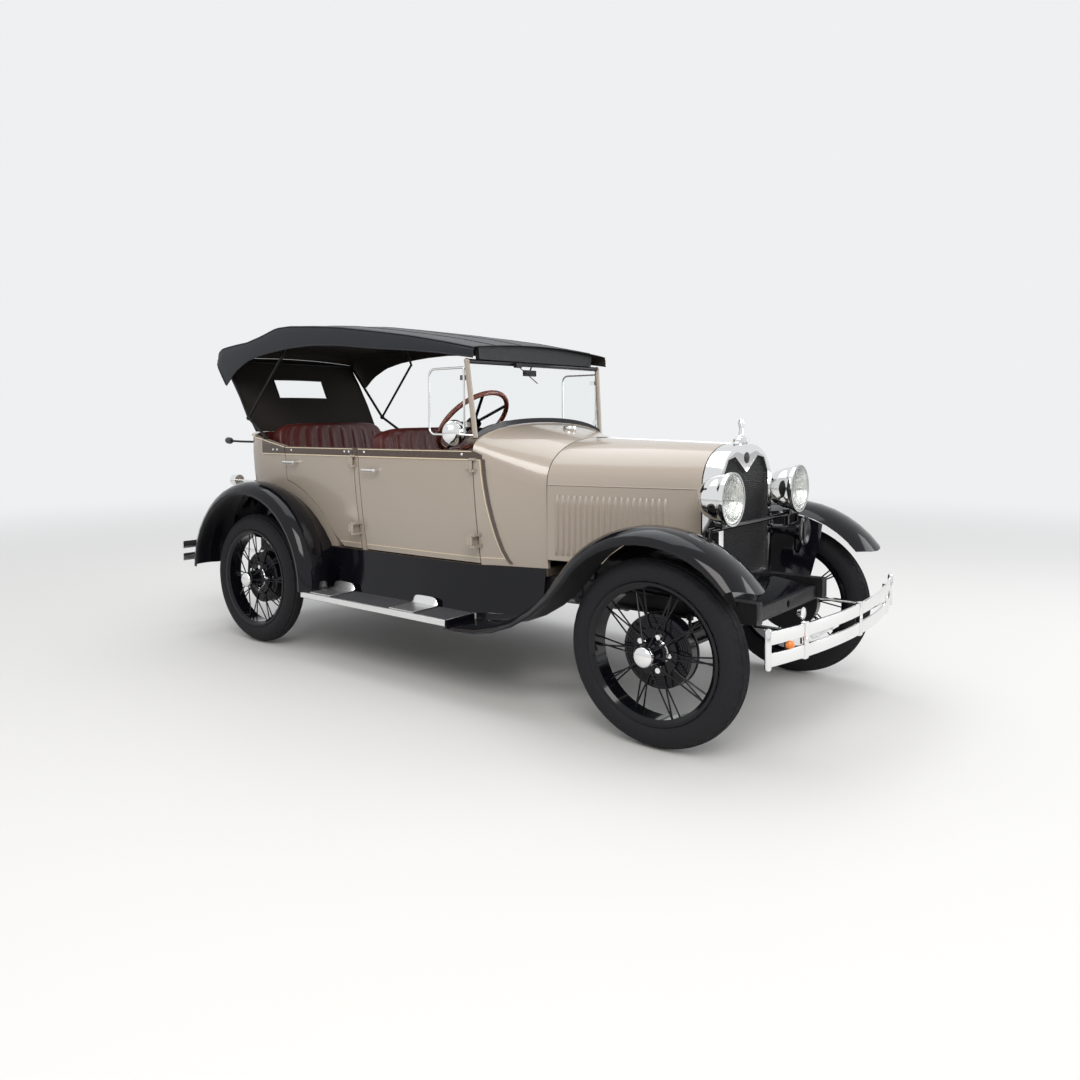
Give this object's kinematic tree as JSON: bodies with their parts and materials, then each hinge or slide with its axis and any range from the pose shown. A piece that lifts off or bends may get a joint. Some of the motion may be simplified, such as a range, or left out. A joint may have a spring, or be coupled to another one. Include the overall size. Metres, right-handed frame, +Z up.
{
  "type": "vintage touring car",
  "caption": "Open vintage touring car with folding cloth top, wire wheels, separate fenders and running boards; rolls, steers, doors and bonnet open.",
  "frame": {"origin": "on the ground under the middle of the car's overall box", "axes": "+X forward, +Y to the car's left, +Z up"},
  "size_m": [3.967, 1.67, 1.8929],
  "materials": {
    "chassis_black": "satin black paint",
    "spring_steel": "satin black paint",
    "engine_green": "dull engine enamel",
    "exhaust_steel": "dull steel",
    "core_black": "matt black honeycomb",
    "chrome": "polished plating",
    "body_beige": "gloss body enamel",
    "gloss_black": "gloss black enamel",
    "floor_wood": "dark boards",
    "seat_leather": "maroon leather",
    "screen_black": "gloss black enamel",
    "clear_glass": "clear glass",
    "top_fabric": "coated black cloth",
    "iron_black": "black paint",
    "board_rubber": "ribbed rubber",
    "lamp_glass": "fluted glass",
    "wheel_black": "gloss black enamel",
    "tyre_rubber": "black tyre",
    "wheel_brown": "red-brown hard rubber"
  },
  "bodies": {
    "chassis": {"frame": "chassis_black", "front_axle": "chassis_black", "springs": "spring_steel", "rear_axle": "chassis_black", "engine": "engine_green", "exhaust": "exhaust_steel", "radiator_core": "core_black", "radiator_shell": "chrome", "radiator_cap": "chrome", "cowl": "body_beige", "firewall": "gloss_black", "floor": "floor_wood", "rear_body": "body_beige", "hinge_posts": "body_beige", "seats": "seat_leather", "windscreen_frame": "screen_black", "windscreen_glass": "clear_glass", "top": "top_fabric", "back_curtain": "top_fabric", "top_irons": "iron_black", "front_fenders": "gloss_black", "fender_aprons": "gloss_black", "rear_fenders": "gloss_black", "running_boards": "board_rubber", "splash_aprons": "gloss_black", "headlamps": "chrome", "lamp_lenses": "lamp_glass", "lamp_bar": "chrome", "front_bumper": "chrome", "rear_bumpers": "chrome", "tail_lamps": "chrome", "steering_column": "iron_black", "spare_wheel": "wheel_black", "spare_tyre": "tyre_rubber"},
    "knuckle_right": {"knuckle_right": "iron_black"},
    "knuckle_left": {"knuckle_left": "iron_black"},
    "tie_rod": {"tie_rod": "iron_black"},
    "drag_link": {"drag_link": "iron_black"},
    "pitman_arm": {"pitman_arm": "iron_black"},
    "steering_wheel": {"steering_wheel": "wheel_brown"},
    "road_wheel_front_right": {"wheel_front_right": "wheel_black", "tyre_front_right": "tyre_rubber"},
    "road_wheel_front_left": {"wheel_front_left": "wheel_black", "tyre_front_left": "tyre_rubber"},
    "road_wheel_rear_right": {"wheel_rear_right": "wheel_black", "tyre_rear_right": "tyre_rubber"},
    "road_wheel_rear_left": {"wheel_rear_left": "wheel_black", "tyre_rear_left": "tyre_rubber"},
    "front_door_right": {"front_door_right": "body_beige"},
    "front_door_left": {"front_door_left": "body_beige"},
    "rear_door_right": {"rear_door_right": "body_beige"},
    "rear_door_left": {"rear_door_left": "body_beige"},
    "hood_top_right": {"hood_top_right": "body_beige"},
    "hood_top_left": {"hood_top_left": "body_beige"},
    "hood_side_right": {"hood_side_right": "body_beige"},
    "hood_side_left": {"hood_side_left": "body_beige"}
  },
  "joints": [
    {"name": "steer_right", "type": "hinge", "parent": "chassis", "child": "knuckle_right", "pos_m": [1.4265, -0.6, 0.381], "axis": [0, 0, 1], "range_deg": [-30, 30]},
    {"name": "steer_left", "type": "hinge", "parent": "chassis", "child": "knuckle_left", "pos_m": [1.4265, 0.6, 0.381], "axis": [0, 0, 1], "range_deg": [-30, 30]},
    {"name": "tie_rod_pivot", "type": "hinge", "parent": "knuckle_right", "child": "tie_rod", "pos_m": [1.2765, -0.6, 0.359], "axis": [0, 0, 1], "range_deg": [-30, 30]},
    {"name": "drag_link_pivot", "type": "hinge", "parent": "knuckle_right", "child": "drag_link", "pos_m": [1.4265, -0.42, 0.47], "axis": [0, 0, 1], "range_deg": [-30, 30]},
    {"name": "pitman_swing", "type": "hinge", "parent": "chassis", "child": "pitman_arm", "pos_m": [0.8665, -0.404, 0.595], "axis": [0, 1, 0], "range_deg": [-45, 45]},
    {"name": "steering_wheel_turn", "type": "hinge", "parent": "chassis", "child": "steering_wheel", "pos_m": [0.1365, -0.31, 1.3], "axis": [-0.7184, 0.0492, 0.6938], "range_deg": [-337.5, 337.5]},
    {"name": "spin_front_right", "type": "hinge", "parent": "knuckle_right", "child": "road_wheel_front_right", "pos_m": [1.4265, -0.711, 0.381], "axis": [0, 1, 0], "continuous": true},
    {"name": "spin_front_left", "type": "hinge", "parent": "knuckle_left", "child": "road_wheel_front_left", "pos_m": [1.4265, 0.711, 0.381], "axis": [0, 1, 0], "continuous": true},
    {"name": "spin_rear_right", "type": "hinge", "parent": "chassis", "child": "road_wheel_rear_right", "pos_m": [-1.2025, -0.711, 0.381], "axis": [0, 1, 0], "continuous": true},
    {"name": "spin_rear_left", "type": "hinge", "parent": "chassis", "child": "road_wheel_rear_left", "pos_m": [-1.2025, 0.711, 0.381], "axis": [0, 1, 0], "continuous": true},
    {"name": "open_front_door_right", "type": "hinge", "parent": "chassis", "child": "front_door_right", "pos_m": [0.3775, -0.614, 0.91], "axis": [0, 0, 1], "range_deg": [0, 70]},
    {"name": "open_front_door_left", "type": "hinge", "parent": "chassis", "child": "front_door_left", "pos_m": [0.3775, 0.614, 0.91], "axis": [0, 0, -1], "range_deg": [0, 70]},
    {"name": "open_rear_door_right", "type": "hinge", "parent": "chassis", "child": "rear_door_right", "pos_m": [-0.4525, -0.642, 0.91], "axis": [0, 0, 1], "range_deg": [0, 70]},
    {"name": "open_rear_door_left", "type": "hinge", "parent": "chassis", "child": "rear_door_left", "pos_m": [-0.4525, 0.642, 0.91], "axis": [0, 0, -1], "range_deg": [0, 70]},
    {"name": "lift_hood_right", "type": "hinge", "parent": "chassis", "child": "hood_top_right", "pos_m": [1.4065, 0, 1.193], "axis": [-0.9995, 0, 0.0328], "range_deg": [0, 60]},
    {"name": "lift_hood_left", "type": "hinge", "parent": "chassis", "child": "hood_top_left", "pos_m": [1.4065, 0, 1.193], "axis": [0.9995, 0, -0.0328], "range_deg": [0, 60]},
    {"name": "hang_hood_side_right", "type": "hinge", "parent": "hood_top_right", "child": "hood_side_right", "pos_m": [1.4065, -0.279, 1.002], "axis": [-0.9749, -0.2228, 0], "range_deg": [-42, 0]},
    {"name": "hang_hood_side_left", "type": "hinge", "parent": "hood_top_left", "child": "hood_side_left", "pos_m": [1.4065, 0.279, 1.002], "axis": [0.9749, -0.2228, 0], "range_deg": [-42, 0]}
  ],
  "couplings": [
    {"joint": "steer_left", "follows": "steer_right", "ratio": 1},
    {"joint": "tie_rod_pivot", "follows": "steer_right", "ratio": -1},
    {"joint": "drag_link_pivot", "follows": "steer_right", "ratio": -1},
    {"joint": "pitman_swing", "follows": "steer_right", "ratio": 1.5},
    {"joint": "steering_wheel_turn", "follows": "steer_right", "ratio": 11.25},
    {"joint": "hang_hood_side_right", "follows": "lift_hood_right", "ratio": -0.7},
    {"joint": "hang_hood_side_left", "follows": "lift_hood_left", "ratio": -0.7}
  ]
}
